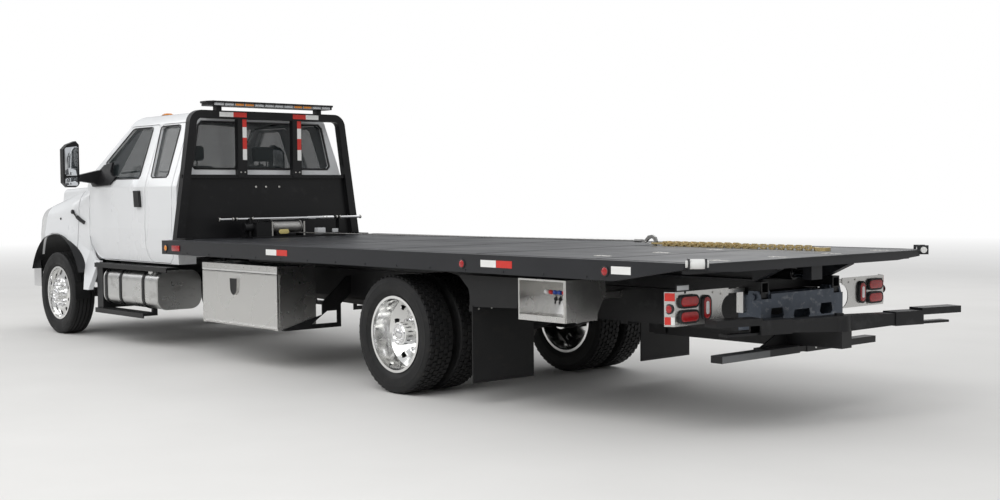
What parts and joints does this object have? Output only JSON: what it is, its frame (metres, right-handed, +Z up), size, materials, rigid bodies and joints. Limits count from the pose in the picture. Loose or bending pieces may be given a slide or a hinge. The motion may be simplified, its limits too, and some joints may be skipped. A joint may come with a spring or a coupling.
{
  "type": "flatbed tow truck",
  "caption": "Flatbed tow truck with an extended cab, a sliding and tilting steel deck, a winch, a wheel lift, toolboxes and dual rear wheels.",
  "frame": {"origin": "on the ground below the middle of the whole vehicle", "axes": "+X forward, +Y to the vehicle's left, +Z up"},
  "size_m": [10.8794, 2.79, 2.5],
  "materials": {
    "white_paint": "gloss",
    "black_paint": "satin",
    "deck_paint": "satin",
    "frame_paint": "satin",
    "cast_metal": "matte",
    "stainless": "brushed",
    "polished": "polished",
    "tank_metal": "satin",
    "chrome": "polished",
    "tyre_rubber": "matte",
    "flap_rubber": "matte",
    "black_plastic": "matte",
    "seat_cloth": "matte",
    "window": "gloss",
    "lamp_red": "gloss",
    "lamp_clear": "gloss",
    "roller_white": "matte",
    "rope_steel": "satin",
    "chain_gold": "satin"
  },
  "bodies": {
    "chassis": {"frame": "frame_paint", "powertrain": "cast_metal", "front_axle": "cast_metal", "rear_axle": "cast_metal", "cab": "white_paint", "cab_glass": "window", "seats": "seat_cloth", "dashboard": "black_plastic", "bumper": "black_paint", "fuel_tank": "tank_metal", "side_steps": "black_paint", "toolboxes": "stainless", "mud_flaps": "flap_rubber", "control_stations": "stainless", "tail_frame": "frame_paint", "tail_panels": "stainless", "tail_lamps": "lamp_red"},
    "hood_assembly": {"hood": "white_paint", "grille": "chrome", "headlamps": "lamp_clear"},
    "tie_rod_link": {"tie_rod": "cast_metal"},
    "tilt_subframe": {"tilt_frame": "frame_paint"},
    "tilt_cylinder_barrels": {"tilt_barrels": "frame_paint"},
    "tilt_cylinder_rods": {"tilt_rods": "chrome"},
    "carrier_deck": {"deck": "deck_paint", "slide_rod": "chrome", "tail_rollers": "roller_white", "headboard": "black_paint", "light_bar": "black_plastic", "winch_frame": "black_paint", "winch_cable": "rope_steel", "chain_bridle": "chain_gold"},
    "cable_drum": {"winch_drum": "rope_steel"},
    "wheel_lift_boom": {"lift_boom": "frame_paint"},
    "wheel_lift_extension": {"lift_inner_boom": "frame_paint"},
    "wheel_lift_crossbar": {"crossbar": "frame_paint"},
    "lift_cylinder_barrel": {"lift_barrel": "frame_paint"},
    "lift_cylinder_rod": {"lift_rod": "chrome"},
    "left_front_door": {"front_door_left": "white_paint", "front_glass_left": "window", "mirror_left": "black_plastic"},
    "left_rear_door": {"rear_door_left": "white_paint", "rear_glass_left": "window"},
    "left_toolbox_door": {"toolbox_door_left": "stainless"},
    "left_steering_knuckle": {"knuckle_left": "cast_metal"},
    "left_front_wheel": {"front_rim_left": "polished", "front_tyre_left": "tyre_rubber"},
    "left_rear_wheels": {"rear_rims_left": "polished", "rear_tyres_left": "tyre_rubber"},
    "right_front_door": {"front_door_right": "white_paint", "front_glass_right": "window", "mirror_right": "black_plastic"},
    "right_rear_door": {"rear_door_right": "white_paint", "rear_glass_right": "window"},
    "right_toolbox_door": {"toolbox_door_right": "stainless"},
    "right_steering_knuckle": {"knuckle_right": "cast_metal"},
    "right_front_wheel": {"front_rim_right": "polished", "front_tyre_right": "tyre_rubber"},
    "right_rear_wheels": {"rear_rims_right": "polished", "rear_tyres_right": "tyre_rubber"}
  },
  "joints": [
    {"name": "hood_tilt", "type": "hinge", "parent": "chassis", "child": "hood_assembly", "pos_m": [5.31975, 0, 0.852], "axis": [0, -1, 0], "range_deg": [-55, 0]},
    {"name": "left_front_door_hinge", "type": "hinge", "parent": "chassis", "child": "left_front_door", "pos_m": [3.89574, 1.007, 1.25], "axis": [0, 0, -1], "range_deg": [0, 65]},
    {"name": "left_rear_door_hinge", "type": "hinge", "parent": "chassis", "child": "left_rear_door", "pos_m": [2.02275, 1.007, 1.25], "axis": [0, 0, 1], "range_deg": [0, 80]},
    {"name": "left_toolbox_door_hinge", "type": "hinge", "parent": "chassis", "child": "left_toolbox_door", "pos_m": [0.43474, 1.189, 0.382], "axis": [-1, 0, 0], "range_deg": [0, 90]},
    {"name": "left_steering", "type": "hinge", "parent": "chassis", "child": "left_steering_knuckle", "pos_m": [4.49474, 0.9, 0.464], "axis": [0, 0, 1], "range_deg": [-35, 35]},
    {"name": "left_front_wheel_spin", "type": "hinge", "parent": "left_steering_knuckle", "child": "left_front_wheel", "pos_m": [4.49474, 1.022, 0.464], "axis": [0, 1, 0], "continuous": true},
    {"name": "left_rear_wheels_spin", "type": "hinge", "parent": "chassis", "child": "left_rear_wheels", "pos_m": [-1.88026, 0.927, 0.464], "axis": [0, 1, 0], "continuous": true},
    {"name": "right_front_door_hinge", "type": "hinge", "parent": "chassis", "child": "right_front_door", "pos_m": [3.89574, -1.007, 1.25], "axis": [0, 0, 1], "range_deg": [0, 65]},
    {"name": "right_rear_door_hinge", "type": "hinge", "parent": "chassis", "child": "right_rear_door", "pos_m": [2.02275, -1.007, 1.25], "axis": [0, 0, -1], "range_deg": [0, 80]},
    {"name": "right_toolbox_door_hinge", "type": "hinge", "parent": "chassis", "child": "right_toolbox_door", "pos_m": [0.43474, -1.189, 0.382], "axis": [1, 0, 0], "range_deg": [0, 90]},
    {"name": "right_steering", "type": "hinge", "parent": "chassis", "child": "right_steering_knuckle", "pos_m": [4.49474, -0.9, 0.464], "axis": [0, 0, 1], "range_deg": [-35, 35]},
    {"name": "right_front_wheel_spin", "type": "hinge", "parent": "right_steering_knuckle", "child": "right_front_wheel", "pos_m": [4.49474, -1.022, 0.464], "axis": [0, 1, 0], "continuous": true},
    {"name": "right_rear_wheels_spin", "type": "hinge", "parent": "chassis", "child": "right_rear_wheels", "pos_m": [-1.88026, -0.927, 0.464], "axis": [0, 1, 0], "continuous": true},
    {"name": "tie_rod_slide", "type": "slide", "parent": "chassis", "child": "tie_rod_link", "axis": [0, 1, 0], "range_m": [-0.11, 0.11]},
    {"name": "deck_tilt", "type": "hinge", "parent": "chassis", "child": "tilt_subframe", "pos_m": [-4.78026, 0, 0.865], "axis": [0, -1, 0], "range_deg": [0, 13]},
    {"name": "deck_slide", "type": "slide", "parent": "tilt_subframe", "child": "carrier_deck", "axis": [-1, 0, 0], "range_m": [0, 4]},
    {"name": "winch_drum_spin", "type": "hinge", "parent": "carrier_deck", "child": "cable_drum", "pos_m": [1.46375, 0.04, 1.229], "axis": [0, 1, 0], "continuous": true},
    {"name": "tilt_barrels_swing", "type": "hinge", "parent": "chassis", "child": "tilt_cylinder_barrels", "pos_m": [-2.33026, 0, 0.48], "axis": [0, -1, 0], "range_deg": [-14.71, 1]},
    {"name": "tilt_rods_stroke", "type": "slide", "parent": "tilt_cylinder_barrels", "child": "tilt_cylinder_rods", "axis": [-0.9487, 0, 0.3162], "range_m": [-0.005, 0.1546]},
    {"name": "wheel_lift_lower", "type": "hinge", "parent": "chassis", "child": "wheel_lift_boom", "pos_m": [-3.63026, 0, 0.58], "axis": [0, 1, 0], "range_deg": [-12, 0]},
    {"name": "wheel_lift_extend", "type": "slide", "parent": "wheel_lift_boom", "child": "wheel_lift_extension", "axis": [1, 0, 0], "range_m": [-0.9, 0]},
    {"name": "crossbar_swivel", "type": "hinge", "parent": "wheel_lift_extension", "child": "wheel_lift_crossbar", "pos_m": [-5.12526, 0, 0.69], "axis": [0, 0, 1], "range_deg": [-3, 31.4]},
    {"name": "lift_barrel_swing", "type": "hinge", "parent": "chassis", "child": "lift_cylinder_barrel", "pos_m": [-3.84025, 0, 0.8], "axis": [0, 1, 0], "range_deg": [-15.6, 1]},
    {"name": "lift_rod_stroke", "type": "slide", "parent": "lift_cylinder_barrel", "child": "lift_cylinder_rod", "axis": [-0.9836, 0, -0.1803], "range_m": [-0.005, 0.061]}
  ],
  "couplings": [
    {"joint": "right_steering", "follows": "left_steering", "ratio": 1},
    {"joint": "tie_rod_slide", "follows": "left_steering", "m_per_rad": -0.15324},
    {"joint": "tilt_barrels_swing", "follows": "deck_tilt", "ratio": -1.0545},
    {"joint": "tilt_rods_stroke", "follows": "deck_tilt", "m_per_rad": 0.65923},
    {"joint": "lift_barrel_swing", "follows": "wheel_lift_lower", "ratio": 1.2167},
    {"joint": "lift_rod_stroke", "follows": "wheel_lift_lower", "m_per_rad": -0.2674}
  ]
}
